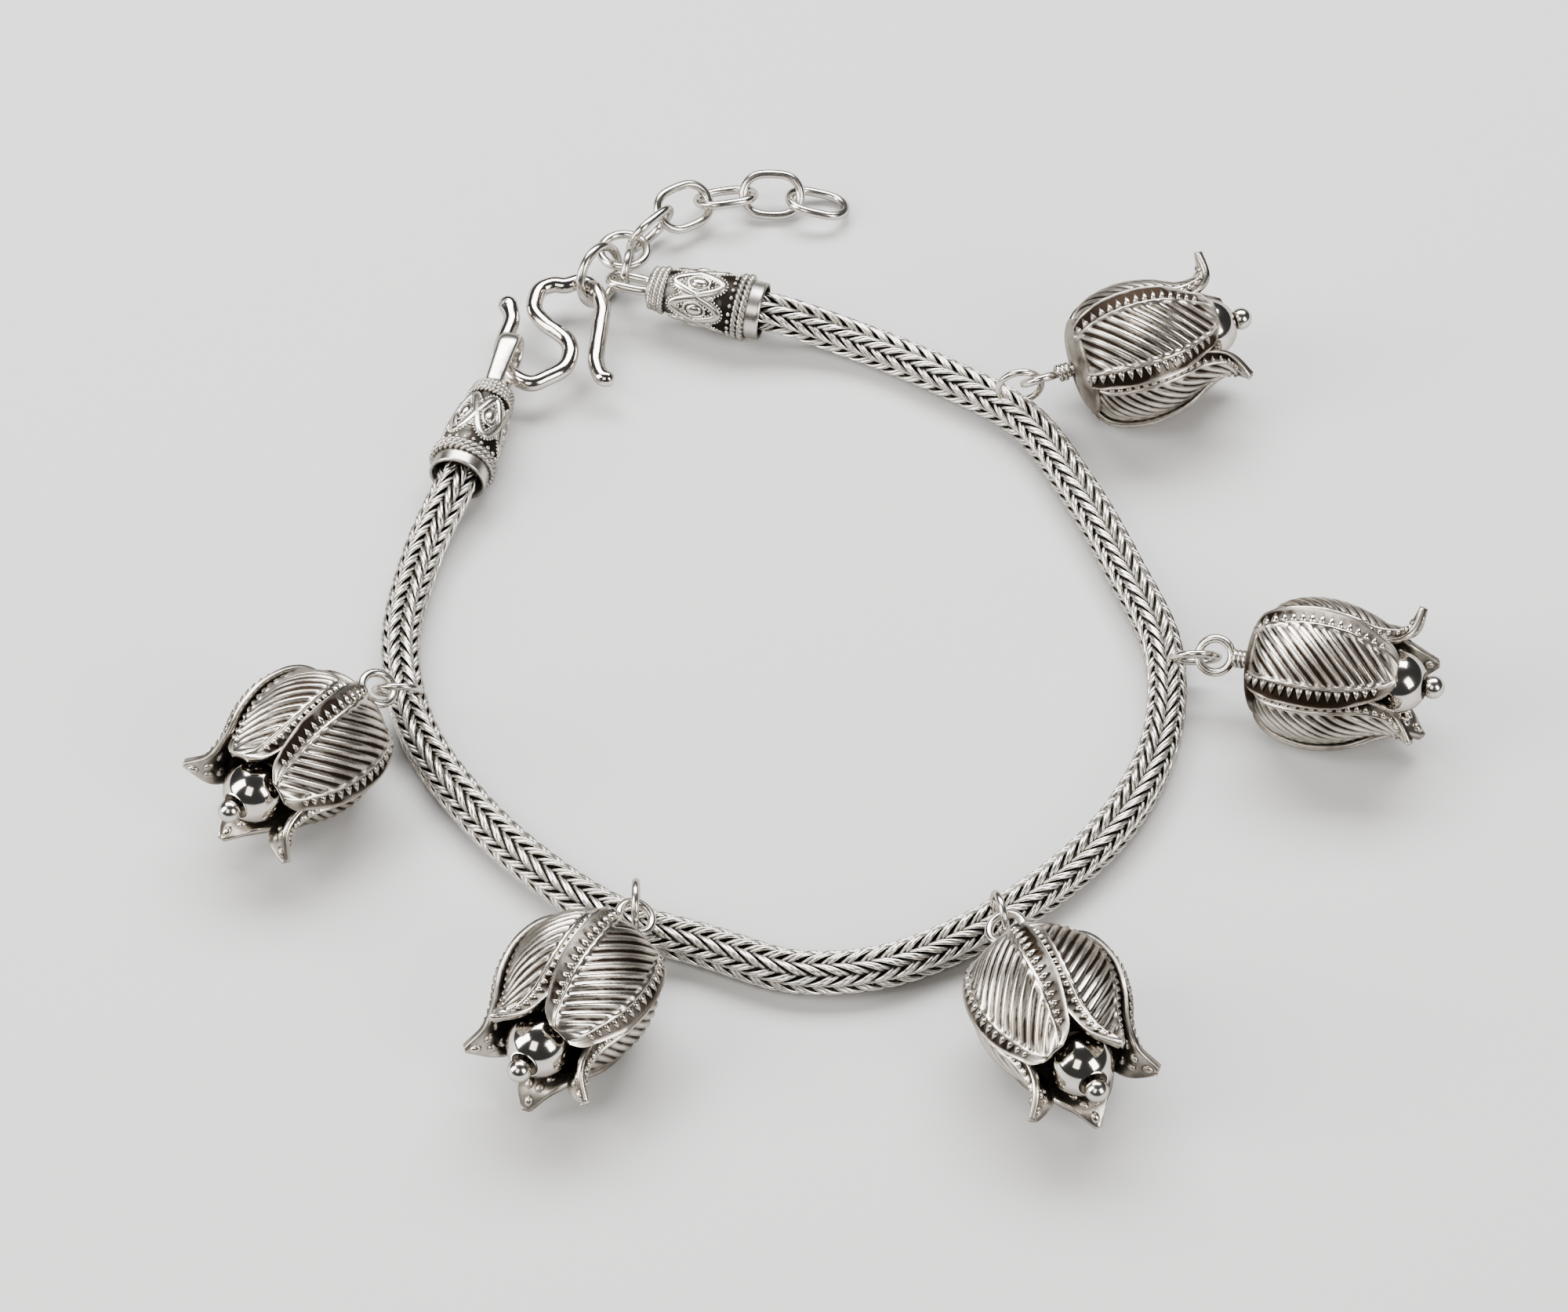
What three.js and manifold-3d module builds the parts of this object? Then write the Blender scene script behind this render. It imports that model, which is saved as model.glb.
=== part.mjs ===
// A silver charm bracelet laid on a table. A square woven chain lies in a loop, a tapered cap closes each
// of its ends, an S hook goes through the strap of one cap, three rings and a short extension chain hang
// on the other, and five flower buds, each with a ball held in its mouth by a head pin, hang on jump rings
// that pass through the chain. Millimetres, +Z up, the bracelet lying on z = 0.
import * as THREE from "three";
import { mergeVertices } from "three/addons/utils/BufferGeometryUtils.js";
import Module from "manifold-3d";

const wasm = await Module();
wasm.setup();

// Driving dimensions
const gap = 0.3; // between pieces that touch on the real one
const chainThick = 2.7; // woven chain, across its flats
const chainSquareness = 3.2; // exponent of its rounded-square section
const endInCap = 2.6; // how deep each chain end sits in its cap

const capLength = 8.6;
const capWall = 0.28; // at the lip
const capEndRadius = 1.28; // narrow end
const ropeWire = 0.5; // twisted wire bands round the caps
const strapWide = 1.7; // folded strap of the hook's cap
const strapThick = 0.6;
const strapOpening = 1.9;
const strapLean = 9; // degrees, the strap's turn off the cap's axis
const bailWire = 0.7; // round loop of the other cap
const bailOpening = 1.05;

const hookWire = 1.2;
const hookHeight = 2.38; // its centre line above the table

const jumpRadius = 1.5; // jump rings, to the middle of the wire
const jumpWire = 0.5;
const jumpDepth = 0.8; // how far a jump ring dips below the top of the chain

const budLength = 11.7;
const budRadius = 4.75; // to the middle of the petal's thickness
const petalThick = 0.45;
const petalLap = 0.3; // how far a petal's edge lifts over its neighbour
const petalShift = 0.12;
const cupReach = 3.3; // radius of the base cup that holds the petals together

const ballRadius = 2.1;
const ballAt = 10.0; // centres along the bud's axis, from its base
const granuleRadius = 0.78;
const granuleAt = 12.45;
const pinWire = 0.6;
const pinLoopRadius = 1.15;
const pinLoopAt = -2.5;
const loopOverChain = 1.3; // loop's centre above the top of the chain

// Centre line of the chain where it lies on the table, from the hook's side round the front: x, y
const route = [
  [-25.11, 7.83], [-26.22, -0.27], [-24.64, -7.6], [-20.9, -13.75], [-16.13, -18.94], [-10.67, -22.96],
  [-4.96, -25.07], [0.76, -27.04], [6.62, -26.61], [12.29, -24.02], [17.7, -20.08], [22.31, -14.85],
  [25.4, -8.19], [25.89, -0.61], [23.58, 6.56], [20.75, 13.58], [17.05, 20.2], [11.51, 24.28],
  [5.54, 27.58],
];

// End caps: middle of the narrow end, which stays by the hook or the rings, and which way the cap points
// (not scaled); the lip lies a cap's length back from there
const caps = {
  hook_side: { end: [-20.5364, 22.1332, 2.4027], points: [2.1, 7.28, 0.02] },
  ring_side: { end: [-9.8035, 31.5374, 2.9965], points: [-7.43, 1.87, 0.3] },
};

// Centre line of the S hook: x, y
const hookLine = [
  [-20.16, 30.94], [-19.61, 29.03], [-20.02, 27.09], [-20.24, 25.8], [-19.59, 23.84], [-18.07, 22.78],
  [-16.89, 23.33], [-15.73, 24.21], [-15.29, 25.64], [-15.5, 26.76], [-16.18, 27.57], [-17.05, 28.37],
  [-17.94, 29.67], [-17.98, 30.81], [-17.64, 31.79], [-16.69, 32.28], [-15.86, 32.2], [-14.78, 32.55],
  [-13.8, 31.93], [-13.12, 30.16], [-13.21, 28.37], [-13.39, 26.28], [-13.41, 24.68], [-12.84, 23.25],
  [-12.12, 23.41],
];

// Rings and oval links of the extension: centre, the line its long side follows, its face's direction,
// middle radius, straight part and wire
const links = [
  { name: "ring_hook", at: [-13.62, 33.16, 2.45], along: [0.608, 0.728, -0.316], face: [0.794, -0.561, 0.235],
    radius: 2.1, straight: 0, wire: 0.7 },
  { name: "ring_joint", at: [-11.88, 35.56, 2.43], along: [0.971, -0.239, 0], face: [0.011, 0.044, 0.999],
    radius: 1.68, straight: 0, wire: 0.65 },
  { name: "ring_cap", at: [-11.6, 33.41, 2.7], along: [0.163, 0.98, -0.114], face: [0.984, -0.17, -0.056],
    radius: 1.42, straight: 0, wire: 0.55 },
  { name: "link_1", at: [-10.03, 37.91, 2.2], along: [0.637, 0.768, -0.067], face: [-0.727, 0.628, 0.277],
    radius: 1.52, straight: 1.2, wire: 0.65 },
  { name: "link_2", at: [-7.6, 40.32, 2.05], along: [0.819, 0.566, -0.092], face: [0.385, -0.424, 0.82],
    radius: 1.52, straight: 1.2, wire: 0.65 },
  { name: "link_3", at: [-4.52, 41.68, 1.6], along: [0.974, 0.225, -0.026], face: [-0.084, 0.467, 0.88],
    radius: 1.52, straight: 1.2, wire: 0.65 },
  { name: "link_4", at: [-1.11, 41.95, 1.62], along: [0.999, 0.002, -0.042], face: [0.033, -0.664, 0.747],
    radius: 1.52, straight: 1.2, wire: 0.65 },
  { name: "link_5", at: [2.25, 41.57, 1.1], along: [0.976, -0.122, -0.18], face: [0.207, 0.277, 0.938],
    radius: 1.52, straight: 1.2, wire: 0.65 },
];

// Charms: where the jump ring meets the chain (x, y on its centre line), the plan direction from there
// to the pin's loop and how far that loop's centre lies beyond the chain's side, the bud's heading,
// lean of the jump ring, turn of the pin's loop, turn of the petals, each petal's tip (degrees from the
// bud's axis, outwards), and how many petals, from the first on, close over the ball
const charms = [
  { meets: [-25.25, -5.9], out: 180, beyond: 0.91, heading: -127, lean: 28, loopTurn: 27,
    petalTurn: 37, tips: [-25, -5, 62, 35, 60], closed: 2 },
  { meets: [-9.85, -23.38], out: -90, beyond: -0.08, heading: -118, lean: 0, loopTurn: 21,
    petalTurn: 56, tips: [-35, 25, 48, 50, 45], closed: 1 },
  { meets: [13.57, -23.2], out: -76, beyond: 1.02, heading: -69.5, lean: 0, loopTurn: -16,
    petalTurn: 131, tips: [-25, 42, 42, 48, 15], closed: 1 },
  { meets: [26.03, -3.1], out: 0, beyond: 1.55, heading: -17.5, lean: 28, loopTurn: -37,
    petalTurn: 118, tips: [-30, 40, 40, 20, 70], closed: 1 },
  { meets: [16.1, 21.5], out: 7, beyond: 0.45, heading: 14.5, lean: 0, loopTurn: 50,
    petalTurn: 117, tips: [5, 50, 40, 30, 85], closed: 1 },
];

// Petal outline: part of the length, radius and half width as parts of the bud's radius
const petalRows = [
  { along: 0.04, out: 0.42, half: 0.33 },
  { along: 0.15, out: 0.85, half: 0.58 },
  { along: 0.36, out: 1.0, half: 0.69 },
  { along: 0.57, out: 0.94, half: 0.65 },
  { along: 0.76, out: 0.76, half: 0.46 },
];
const tipSteps = [
  { run: 0.14, half: 0.28, turn: 0.25 },
  { run: 0.14, half: 0.04, turn: 1 },
];
// The tip of a petal that closes over the ball is short and blunt
const closedSteps = [
  { run: 0.08, half: 0.35, turn: 0.25 },
  { run: 0.06, half: 0.16, turn: 1 },
];
// Petals in order round the bud: where each edge lies, -1 under and 1 over its neighbour
const petalEdges = [
  { before: 1, after: 1 }, { before: -1, after: -1 }, { before: 1, after: 1 },
  { before: -1, after: 1 }, { before: -1, after: -1 },
];

const metal = {
  silver: { color: "#c9c6c0", roughness: 0.3, metalness: 1 },
  bright: { color: "#dedbd5", roughness: 0.22, metalness: 1 },
};

const group = new THREE.Group();
const vec = (p) => new THREE.Vector3(...p);
const plan = (degrees) => {
  const a = THREE.MathUtils.degToRad(degrees);
  return new THREE.Vector3(Math.cos(a), Math.sin(a), 0);
};
const up = new THREE.Vector3(0, 0, 1);

// Solids
function solid(geometry) {
  const g = geometry.clone();
  g.deleteAttribute("normal");
  g.deleteAttribute("uv");
  const merged = mergeVertices(g, 1e-4);
  return new wasm.Manifold(new wasm.Mesh({
    numProp: 3,
    vertProperties: new Float32Array(merged.attributes.position.array),
    triVerts: new Uint32Array(merged.index.array),
  }));
}

function geometryOf(made) {
  const mesh = made.getMesh();
  const positions = new Float32Array(mesh.numVert * 3);
  for (let i = 0; i < mesh.numVert; i++) {
    positions.set(mesh.vertProperties.subarray(i * mesh.numProp, i * mesh.numProp + 3), i * 3);
  }
  return new THREE.BufferGeometry()
    .setAttribute("position", new THREE.BufferAttribute(positions, 3))
    .setIndex(new THREE.BufferAttribute(mesh.triVerts, 1));
}

function add(name, geometry, look) {
  const shown = geometry.index ? geometry.toNonIndexed() : geometry;
  shown.computeVertexNormals();
  const mesh = new THREE.Mesh(shown, new THREE.MeshStandardMaterial(metal[look]));
  mesh.name = name;
  group.add(mesh);
  return mesh;
}

// A frame at a point: local x and z given, z leading, x squared to it
function frame(at, x, z) {
  const zz = z.clone().normalize();
  const xx = x.clone().addScaledVector(zz, -x.dot(zz)).normalize();
  const yy = zz.clone().cross(xx);
  return new THREE.Matrix4().makeBasis(xx, yy, zz).setPosition(at);
}

// A ring or an oval link in its own xy plane, long side along x
function loopGeometry(radius, straight, wire, steps = 16, sides = 6) {
  const g = new THREE.TorusGeometry(radius, wire / 2, sides, steps);
  g.rotateZ(Math.PI / steps);
  const p = g.attributes.position;
  for (let i = 0; i < p.count; i++) p.setX(i, p.getX(i) + (straight / 2) * Math.sign(p.getX(i)));
  return g;
}

function lathe(points, segments) {
  return new THREE.LatheGeometry(points.map(([r, z]) => new THREE.Vector2(r, z)), segments)
    .rotateX(Math.PI / 2);
}

// Chain: a rounded square swept along its line, its underside laid flat on the table
const half = chainThick / 2;
function sectionPoints(halfSize) {
  const shape = [];
  for (let i = 0; i < 12; i++) {
    const a = (Math.PI / 180) * (15 + 30 * i);
    const n = chainSquareness;
    const reach = (Math.abs(Math.cos(a)) ** n + Math.abs(Math.sin(a)) ** n) ** (-1 / n);
    shape.push([reach * Math.cos(a), reach * Math.sin(a)]);
  }
  const flat = shape[2][1]; // the height of the flat side
  return shape.map(([x, y]) => new THREE.Vector2((x / flat) * halfSize, (y / flat) * halfSize));
}
const section = sectionPoints(half);
const sectionReach = Math.max(...section.map((p) => p.length()));

const capFrames = {};
for (const [name, cap] of Object.entries(caps)) {
  const z = vec(cap.points).normalize();
  capFrames[name] = { at: vec(cap.end).addScaledVector(z, -capLength), z };
}
const onAxis = (name, along) => capFrames[name].at.clone().addScaledVector(capFrames[name].z, along);
const chainLine = new THREE.CatmullRomCurve3([
  onAxis("hook_side", endInCap), onAxis("hook_side", 0.9), onAxis("hook_side", -0.8),
  ...route.map(([x, y]) => new THREE.Vector3(x, y, half)),
  onAxis("ring_side", -1.2), onAxis("ring_side", 0.7), onAxis("ring_side", endInCap),
], false, "centripetal");
const chainGeometry = new THREE.ExtrudeGeometry(new THREE.Shape(section), {
  steps: 62, extrudePath: chainLine, curveSegments: 1,
});
{
  const p = chainGeometry.attributes.position;
  for (let i = 0; i < p.count; i++) if (p.getZ(i) < 0.05) p.setZ(i, 0);
}

// End caps
const boreRadius = sectionReach + 0.2;
const lipRadius = boreRadius + capWall;
function capSolid() {
  const w = ropeWire / 2;
  const body = lathe([
    [0, endInCap + 0.35], [boreRadius, endInCap + 0.35], [boreRadius, 0], [lipRadius + 0.02, 0],
    [lipRadius - 0.03, 0.45], [lipRadius, 1.05], [lipRadius + w, 1.12], [lipRadius + w * 1.25, 1.33],
    [lipRadius + w, 1.56], [lipRadius, 1.64], [lipRadius + w, 1.85], [lipRadius - 0.03, 2.2],
    [lipRadius - 0.04, 3.0], [lipRadius - 0.12, 0.535 * capLength],
    [(lipRadius + capEndRadius) / 2 + 0.1, 0.72 * capLength], [capEndRadius + 0.03, capLength - 0.75],
    [capEndRadius + 0.2, capLength - 0.67], [capEndRadius + 0.27, capLength - 0.45],
    [capEndRadius + 0.2, capLength - 0.23], [capEndRadius - 0.1, capLength - 0.15],
    [capEndRadius - 0.25, capLength], [0, capLength],
  ], 12);
  return solid(body);
}

// Folded strap: a flat band bent to a U, standing in the plane of the cap's axis
function strapSolid() {
  const inner = strapOpening / 2;
  const outer = inner + strapThick;
  const straight = capLength + 3.15;
  const shape = new THREE.Shape();
  shape.moveTo(capLength - 0.75, -outer).lineTo(straight, -outer);
  shape.absarc(straight, 0, outer, -Math.PI / 2, Math.PI / 2, false);
  shape.lineTo(capLength - 0.75, outer).lineTo(capLength - 0.75, -outer);
  const hole = new THREE.Path();
  hole.moveTo(capLength - 0.02, -inner).lineTo(straight, -inner);
  hole.absarc(straight, 0, inner, -Math.PI / 2, Math.PI / 2, false);
  hole.lineTo(capLength - 0.02, inner).lineTo(capLength - 0.02, -inner);
  shape.holes.push(hole);
  const g = new THREE.ExtrudeGeometry(shape, { depth: strapWide, bevelEnabled: false, curveSegments: 6 });
  g.translate(0, 0, -strapWide / 2);
  // shape x goes along the cap, shape y up and the depth across
  g.translate(-capLength, 0, 0).rotateY(THREE.MathUtils.degToRad(-strapLean)).translate(capLength, 0, 0);
  return solid(g.applyMatrix4(new THREE.Matrix4().makeBasis(
    new THREE.Vector3(0, 0, 1), new THREE.Vector3(1, 0, 0), new THREE.Vector3(0, 1, 0))));
}

// Round-wire loop on the other cap
function bailSolid() {
  const radius = bailOpening / 2 + bailWire / 2;
  const g = new THREE.TorusGeometry(radius, bailWire / 2, 8, 16);
  g.rotateZ(Math.PI / 16);
  const p = g.attributes.position;
  const reach = 0.75;
  for (let i = 0; i < p.count; i++) p.setX(i, p.getX(i) + reach * Math.sign(p.getX(i)));
  g.translate(capLength - 0.2 + radius + 0.55, 0, 0);
  return solid(g.applyMatrix4(new THREE.Matrix4().makeBasis(
    new THREE.Vector3(0, 0, 1), new THREE.Vector3(0, 1, 0), new THREE.Vector3(-1, 0, 0))));
}

function addCap(name, made, tilt) {
  const { at, z } = capFrames[name];
  const across = z.clone().cross(up).normalize();
  const raised = across.clone().cross(z).normalize().applyAxisAngle(z, THREE.MathUtils.degToRad(tilt));
  add("end_cap_" + name, geometryOf(made).applyMatrix4(frame(at, raised, z)), "silver");
}
addCap("hook_side", wasm.Manifold.union(capSolid(), strapSolid()), 0);
addCap("ring_side", wasm.Manifold.union(capSolid(), bailSolid()), 20);

// S hook
{
  const line = new THREE.CatmullRomCurve3(
    hookLine.map(([x, y]) => new THREE.Vector3(x, y, hookHeight)), false, "centripetal");
  const ring = [];
  for (let i = 0; i < 8; i++) {
    const a = (Math.PI / 4) * i + Math.PI / 8;
    ring.push(new THREE.Vector2((hookWire / 2) * Math.cos(a), (hookWire / 2) * Math.sin(a)));
  }
  add("s_hook", new THREE.ExtrudeGeometry(new THREE.Shape(ring), { steps: 40, extrudePath: line }), "bright");
}

// Rings and links
for (const link of links) {
  const place = frame(vec(link.at), vec(link.along), vec(link.face));
  add(link.name, loopGeometry(link.radius, link.straight, link.wire).applyMatrix4(place), "silver");
}

// One petal as a thick leaf: rows from the base to the tip, columns across it
function petalSolid(turn, edges, tip, steps) {
  const rows = petalRows.map((row) => ({
    z: row.along * budLength, r: row.out * budRadius, half: row.half * budRadius,
  }));
  const last = petalRows.at(-1);
  let z = last.along * budLength;
  let r = last.out * budRadius;
  for (const step of steps) {
    const a = THREE.MathUtils.degToRad(-20 + (tip + 20) * step.turn);
    z += step.run * budLength * Math.cos(a);
    r += step.run * budLength * Math.sin(a);
    rows.push({ z, r, half: step.half * budRadius });
  }
  const across = [-1, -0.5, 0, 0.5, 1];
  const shift = petalShift * (edges.before + edges.after) / 2;
  const grid = rows.map((row, i) => {
    const a = rows[Math.max(i - 1, 0)];
    const b = rows[Math.min(i + 1, rows.length - 1)];
    const n = new THREE.Vector2(b.z - a.z, a.r - b.r).normalize(); // outward: radial, along
    const ease = i === 0 ? 0 : i > petalRows.length - 1 ? 0.4 : 1;
    return across.map((u) => {
      const lift = ease * (shift + petalLap * u * u * (u < 0 ? edges.before : edges.after));
      const bend = Math.min(row.half / Math.max(row.r, 1.6), 0.95);
      const angle = turn + u * bend;
      return [1, -1].map((side) => {
        const push = lift + side * petalThick / 2;
        const rr = row.r + n.x * push;
        return [rr * Math.cos(angle), rr * Math.sin(angle), row.z + n.y * push];
      });
    });
  });
  const points = [];
  const outer = grid.map((row) => row.map(([p]) => points.push(p) - 1));
  const inner = grid.map((row) => row.map(([, p]) => points.push(p) - 1));
  const index = [];
  const quad = (a, b, c, d) => index.push(a, b, c, a, c, d);
  const m = rows.length - 1;
  for (let i = 0; i < m; i++) {
    for (let j = 0; j < 4; j++) {
      quad(outer[i][j], outer[i][j + 1], outer[i + 1][j + 1], outer[i + 1][j]);
      quad(inner[i][j], inner[i + 1][j], inner[i + 1][j + 1], inner[i][j + 1]);
    }
    quad(outer[i][0], outer[i + 1][0], inner[i + 1][0], inner[i][0]);
    quad(outer[i][4], inner[i][4], inner[i + 1][4], outer[i + 1][4]);
  }
  for (let j = 0; j < 4; j++) {
    quad(outer[0][j], inner[0][j], inner[0][j + 1], outer[0][j + 1]);
    quad(outer[m][j], outer[m][j + 1], inner[m][j + 1], inner[m][j]);
  }
  const g = new THREE.BufferGeometry()
    .setAttribute("position", new THREE.Float32BufferAttribute(points.flat(), 3));
  g.setIndex(index);
  return solid(g);
}

// Base cup of a bud, bored for the pin
const pinBore = pinWire / 2 + gap;
function cupSolid() {
  const s = cupReach / 3.3;
  return solid(lathe([
    [pinBore, 0], [1.1 * s, -0.03], [2.75 * s, 0.2], [3.5 * s, 0.66], [3.05 * s, 1.35], [2.4 * s, 1.08],
    [pinBore, 0.85], [pinBore, 0],
  ], 12));
}

function budSolid(charm) {
  let made = cupSolid();
  petalEdges.forEach((edges, k) => {
    const turn = THREE.MathUtils.degToRad(charm.petalTurn + 72 * k);
    const steps = k < charm.closed ? closedSteps : tipSteps;
    made = wasm.Manifold.union(made, petalSolid(turn, edges, charm.tips[k], steps));
  });
  return made;
}

// Head pin: granule, stem, wrapped neck and the loop that the jump ring goes through
function pinSolid(loopTurn) {
  const s = pinWire / 2;
  const neck = pinLoopAt + pinLoopRadius;
  const points = [[0, neck], [s, neck]];
  const wraps = 2;
  const room = (-gap - (neck + 0.15)) / wraps;
  for (let i = 0; i < wraps; i++) {
    const z = neck + 0.15 + room * i;
    points.push([s + 0.28, z + room * 0.08], [s + 0.42, z + room * 0.5], [s + 0.28, z + room * 0.92]);
  }
  points.push([s, -gap + 0.02]);
  const start = Math.asin(s / granuleRadius);
  points.push([s, granuleAt - granuleRadius * Math.cos(start)]);
  for (let i = 1; i < 5; i++) {
    const a = start + ((Math.PI - start) * i) / 5;
    points.push([granuleRadius * Math.sin(a), granuleAt - granuleRadius * Math.cos(a)]);
  }
  points.push([0, granuleAt + granuleRadius]);
  const pin = solid(lathe(points, 10));
  const t = THREE.MathUtils.degToRad(loopTurn);
  const ring = loopGeometry(pinLoopRadius, 0, pinWire).applyMatrix4(frame(
    new THREE.Vector3(0, 0, pinLoopAt), new THREE.Vector3(0, 0, 1),
    new THREE.Vector3(Math.sin(t), Math.cos(t), 0)));
  return wasm.Manifold.union(pin, solid(ring));
}

function ballSolid() {
  const ball = solid(new THREE.SphereGeometry(ballRadius, 12, 8).rotateX(Math.PI / 2)
    .translate(0, 0, ballAt));
  const bore = solid(lathe([
    [0, ballAt - ballRadius - 1], [pinBore, ballAt - ballRadius - 1], [pinBore, ballAt + ballRadius + 1],
    [0, ballAt + ballRadius + 1],
  ], 7));
  const seat = solid(new THREE.SphereGeometry(granuleRadius + gap, 7, 6).rotateX(Math.PI / 2)
    .translate(0, 0, granuleAt));
  return ball.subtract(bore).subtract(seat);
}

// Charms: the bud lies on the table with its loop at a set height over the chain
const tunnels = [];
charms.forEach((charm, i) => {
  const name = "_" + (i + 1);
  const out = plan(charm.out);
  const loopHeight = chainThick + loopOverChain;
  const loop = new THREE.Vector3(charm.meets[0], charm.meets[1], 0)
    .addScaledVector(out, half + charm.beyond).setZ(loopHeight);
  const made = geometryOf(budSolid(charm));
  const side = up.clone().cross(plan(charm.heading));
  let pitch = 0;
  let place;
  let bud;
  for (let turn = 0; turn < 4; turn++) {
    // tilt the bud about its loop until it rests on the table with the loop at its height
    const axis = plan(charm.heading).multiplyScalar(Math.cos(pitch)).setZ(Math.sin(pitch));
    place = frame(loop.clone().addScaledVector(axis, -pinLoopAt), side, axis);
    bud = made.clone().applyMatrix4(place);
    bud.computeBoundingBox();
    pitch -= bud.boundingBox.min.z / (0.4 * budLength - pinLoopAt);
  }
  const drop = new THREE.Matrix4().makeTranslation(0, 0, -bud.boundingBox.min.z);
  loop.z -= bud.boundingBox.min.z;
  bud.applyMatrix4(drop);
  place.premultiply(drop);
  add("bud" + name, bud, "silver");
  add("bead" + name, geometryOf(ballSolid()).applyMatrix4(place), "bright");
  add("headpin" + name, geometryOf(pinSolid(charm.loopTurn)).applyMatrix4(place), "silver");

  // The jump ring passes through the middle of the pin's loop and dips into the chain
  const lean = THREE.MathUtils.degToRad(charm.lean);
  const rise = new THREE.Vector3(0, -Math.sin(lean), Math.cos(lean));
  const inward = out.clone().negate();
  const reach = jumpRadius + 0.02;
  const down = Math.min(Math.max(((loop.z - chainThick + jumpDepth) / rise.z - jumpRadius) / reach, 0.2), 0.95);
  const centre = loop.clone().addScaledVector(rise, -reach * down)
    .addScaledVector(inward, reach * Math.sqrt(1 - down * down));
  const ringPlace = frame(centre, inward, inward.clone().cross(rise));
  add("jump_ring" + name, loopGeometry(jumpRadius, 0, jumpWire, 14).applyMatrix4(ringPlace), "bright");
  tunnels.push(solid(loopGeometry(jumpRadius, 0, jumpWire + 2 * gap * 0.85, 12, 6).applyMatrix4(ringPlace)));
});

// Chain with a way through it for each jump ring
{
  let made = solid(chainGeometry);
  for (const tunnel of tunnels) made = made.subtract(tunnel);
  add("chain", geometryOf(made), "silver");
}

// The group's own origin is the middle of the bracelet, on the table
const box = new THREE.Box3().setFromObject(group, true);
const middle = box.getCenter(new THREE.Vector3());
group.position.set(-middle.x, -middle.y, -box.min.z);

export default group;
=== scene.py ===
import math

import bpy
import numpy as np
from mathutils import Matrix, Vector


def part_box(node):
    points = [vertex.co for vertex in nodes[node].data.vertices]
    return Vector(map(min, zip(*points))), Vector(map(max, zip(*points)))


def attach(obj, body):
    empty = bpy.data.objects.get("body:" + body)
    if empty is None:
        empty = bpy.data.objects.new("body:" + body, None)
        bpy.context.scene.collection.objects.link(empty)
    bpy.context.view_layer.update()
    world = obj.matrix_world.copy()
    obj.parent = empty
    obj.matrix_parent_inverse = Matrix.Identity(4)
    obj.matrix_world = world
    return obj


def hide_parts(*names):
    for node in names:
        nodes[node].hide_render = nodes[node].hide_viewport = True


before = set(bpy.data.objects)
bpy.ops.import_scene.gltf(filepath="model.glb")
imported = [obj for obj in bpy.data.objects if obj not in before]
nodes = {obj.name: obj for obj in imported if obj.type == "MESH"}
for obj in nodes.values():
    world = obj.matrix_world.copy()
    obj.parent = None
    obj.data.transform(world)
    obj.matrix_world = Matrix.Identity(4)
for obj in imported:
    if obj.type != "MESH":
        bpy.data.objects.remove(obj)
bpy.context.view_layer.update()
millimetre = 0.001

# Lengths are in millimetres until a mesh is made. The laid frame is the one in which the chain's route was
# chosen; the frame of the part is that frame moved by laidShift.
route = [
    (-25.11, 7.83), (-26.22, -0.27), (-24.64, -7.6), (-20.9, -13.75), (-16.13, -18.94), (-10.67, -22.96),
    (-4.96, -25.07), (0.76, -27.04), (6.62, -26.61), (12.29, -24.02), (17.7, -20.08), (22.31, -14.85),
    (25.4, -8.19), (25.89, -0.61), (23.58, 6.56), (20.75, 13.58), (17.05, 20.2), (11.51, 24.28),
    (5.54, 27.58),
]
hookLine = [
    (-20.16, 30.94), (-19.61, 29.03), (-20.02, 27.09), (-20.24, 25.8), (-19.59, 23.84), (-18.07, 22.78),
    (-16.89, 23.33), (-15.73, 24.21), (-15.29, 25.64), (-15.5, 26.76), (-16.18, 27.57), (-17.05, 28.37),
    (-17.94, 29.67), (-17.98, 30.81), (-17.64, 31.79), (-16.69, 32.28), (-15.86, 32.2), (-14.78, 32.55),
    (-13.8, 31.93), (-13.12, 30.16), (-13.21, 28.37), (-13.39, 26.28), (-13.41, 24.68), (-12.84, 23.25),
    (-12.12, 23.41),
]
hook = {"wire": 1.2, "height": 2.38, "knob": 0.7, "swell": 0.45, "sides": 20}
# each cap's lip, the way it points, its turn, and where along its axis the chain's line passes
caps = {
    "end_cap_hook_side": {
        "lip": (-22.92, 13.87, 2.38), "points": (2.1, 7.28, 0.02), "tilt": 0, "guides": (2.6, 0.9, -0.8),
    },
    "end_cap_ring_side": {
        "lip": (-1.47, 29.44, 2.66), "points": (-7.43, 1.87, 0.3), "tilt": 20, "guides": (-1.2, 0.7, 2.6),
    },
}


def unit(vectors):
    # each vector over its own length
    vectors = np.asarray(vectors, float)
    return vectors / np.maximum(np.linalg.norm(vectors, axis=-1, keepdims=True), 1e-12)


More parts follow.
